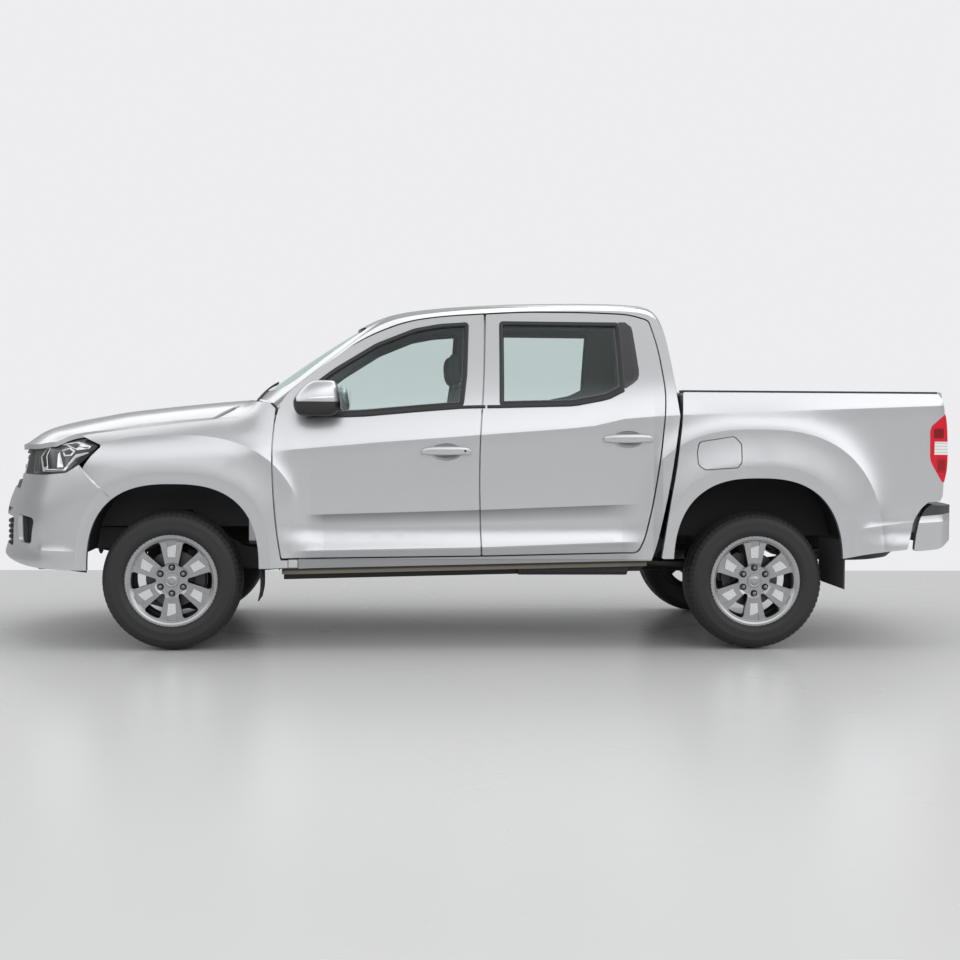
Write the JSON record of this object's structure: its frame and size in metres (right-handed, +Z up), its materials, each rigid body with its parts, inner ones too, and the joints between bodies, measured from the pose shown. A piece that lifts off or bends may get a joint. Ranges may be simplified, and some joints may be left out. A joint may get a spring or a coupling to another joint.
{
  "type": "double cab pickup truck",
  "caption": "Silver double cab pickup truck with a short open load bed, opening doors, bonnet and tailgate, steered front wheels and a ladder frame below.",
  "frame": {"origin": "on the ground below the middle of the overall box", "axes": "+X to the rear, +Y to the vehicle's right, +Z up"},
  "size_m": [5.3605, 2.1522, 1.9119],
  "materials": {
    "body_paint": "silver metallic paint under clear coat",
    "black_trim": "textured black plastic",
    "frame_paint": "black chassis paint",
    "cast_steel": "bare cast metal",
    "spring_steel": "dark spring steel",
    "exhaust_steel": "heat tinted steel",
    "bright_trim": "bright plated trim",
    "lamp_clear": "clear lamp block",
    "lamp_red": "red lamp lens",
    "window_glass": "green tinted safety glass",
    "alloy": "silver painted alloy",
    "tyre_rubber": "black tyre rubber",
    "seat_fabric": "dark woven seat cover",
    "dash_plastic": "grained dashboard plastic",
    "flap_rubber": "black rubber sheet",
    "liner_plastic": "black moulded liner",
    "tank_plastic": "black moulded tank"
  },
  "bodies": {
    "truck": {"chassis_frame": "frame_paint", "cross_members": "frame_paint", "cab_shell": "body_paint", "cab_sills": "body_paint", "cab_glass": "window_glass", "front_fenders": "body_paint", "front_apron": "frame_paint", "front_bumper": "body_paint", "grille": "bright_trim", "headlamps": "lamp_clear", "arch_liners": "liner_plastic", "rear_arch_liners": "liner_plastic", "load_bed": "body_paint", "bed_rail_caps": "black_trim", "tail_lamps": "lamp_red", "rear_bumper": "bright_trim", "rear_mud_flaps": "flap_rubber", "spare_wheel": "tyre_rubber", "front_suspension": "cast_steel", "rear_axle": "cast_steel", "leaf_springs": "spring_steel", "engine_block": "cast_steel", "propeller_shaft": "spring_steel", "exhaust": "exhaust_steel", "fuel_tank": "tank_plastic", "front_seats": "seat_fabric", "rear_seat": "seat_fabric", "dashboard": "dash_plastic", "wipers": "black_trim"},
    "steered_left": {"knuckle_left": "cast_steel"},
    "steered_right": {"knuckle_right": "cast_steel"},
    "helm": {"steering_wheel": "dash_plastic"},
    "hood_panel": {"hood": "body_paint"},
    "gate": {"tailgate": "body_paint"},
    "filler_lid": {"fuel_door": "body_paint"},
    "wheel_front_left": {"rim_front_left": "alloy", "tyre_front_left": "tyre_rubber"},
    "leaf_front_left": {"door_front_left": "body_paint", "glass_front_left": "window_glass", "mirror_left": "bright_trim"},
    "wheel_front_right": {"rim_front_right": "alloy", "tyre_front_right": "tyre_rubber"},
    "leaf_front_right": {"door_front_right": "body_paint", "glass_front_right": "window_glass", "mirror_right": "bright_trim"},
    "wheel_rear_left": {"rim_rear_left": "alloy", "tyre_rear_left": "tyre_rubber"},
    "leaf_rear_left": {"door_rear_left": "body_paint", "glass_rear_left": "window_glass"},
    "wheel_rear_right": {"rim_rear_right": "alloy", "tyre_rear_right": "tyre_rubber"},
    "leaf_rear_right": {"door_rear_right": "body_paint", "glass_rear_right": "window_glass"}
  },
  "joints": [
    {"name": "steer_left", "type": "hinge", "parent": "truck", "child": "steered_left", "pos_m": [-1.62, -0.7, 0.374], "axis": [0, 0, 1], "range_deg": [-32, 32]},
    {"name": "steer_right", "type": "hinge", "parent": "truck", "child": "steered_right", "pos_m": [-1.62, 0.7, 0.374], "axis": [0, 0, 1], "range_deg": [-32, 32]},
    {"name": "steering_wheel_turn", "type": "hinge", "parent": "truck", "child": "helm", "pos_m": [-0.66, -0.37, 1.18], "axis": [0.9063, 0, 0.4226], "range_deg": [-512, 512]},
    {"name": "roll_front_left", "type": "hinge", "parent": "steered_left", "child": "wheel_front_left", "pos_m": [-1.62, -0.79, 0.374], "axis": [0, 1, 0], "continuous": true},
    {"name": "roll_front_right", "type": "hinge", "parent": "steered_right", "child": "wheel_front_right", "pos_m": [-1.62, 0.79, 0.374], "axis": [0, 1, 0], "continuous": true},
    {"name": "roll_rear_left", "type": "hinge", "parent": "truck", "child": "wheel_rear_left", "pos_m": [1.535, -0.79, 0.374], "axis": [0, 1, 0], "continuous": true},
    {"name": "roll_rear_right", "type": "hinge", "parent": "truck", "child": "wheel_rear_right", "pos_m": [1.535, 0.79, 0.374], "axis": [0, 1, 0], "continuous": true},
    {"name": "door_front_left_swing", "type": "hinge", "parent": "truck", "child": "leaf_front_left", "pos_m": [-1.055, -0.93, 1.075], "axis": [0, -0.0698, -0.9976], "range_deg": [0, 65]},
    {"name": "door_front_right_swing", "type": "hinge", "parent": "truck", "child": "leaf_front_right", "pos_m": [-1.055, 0.93, 1.075], "axis": [0, -0.0698, 0.9976], "range_deg": [0, 65]},
    {"name": "door_rear_left_swing", "type": "hinge", "parent": "truck", "child": "leaf_rear_left", "pos_m": [0.06, -0.93, 1.075], "axis": [0, -0.0698, -0.9976], "range_deg": [0, 65]},
    {"name": "door_rear_right_swing", "type": "hinge", "parent": "truck", "child": "leaf_rear_right", "pos_m": [0.06, 0.93, 1.075], "axis": [0, -0.0698, 0.9976], "range_deg": [0, 65]},
    {"name": "hood_lift", "type": "hinge", "parent": "truck", "child": "hood_panel", "pos_m": [-1.234, 0, 1.35], "axis": [0, 1, 0], "range_deg": [0, 58]},
    {"name": "tailgate_drop", "type": "hinge", "parent": "truck", "child": "gate", "pos_m": [2.545, 0, 0.858], "axis": [0, 1, 0], "range_deg": [0, 90]},
    {"name": "fuel_door_swing", "type": "hinge", "parent": "truck", "child": "filler_lid", "pos_m": [1.203, -0.951, 1.075], "axis": [0, 0, -1], "range_deg": [0, 90]}
  ],
  "couplings": [
    {"joint": "steer_right", "follows": "steer_left", "ratio": 1},
    {"joint": "steering_wheel_turn", "follows": "steer_left", "ratio": 16}
  ]
}
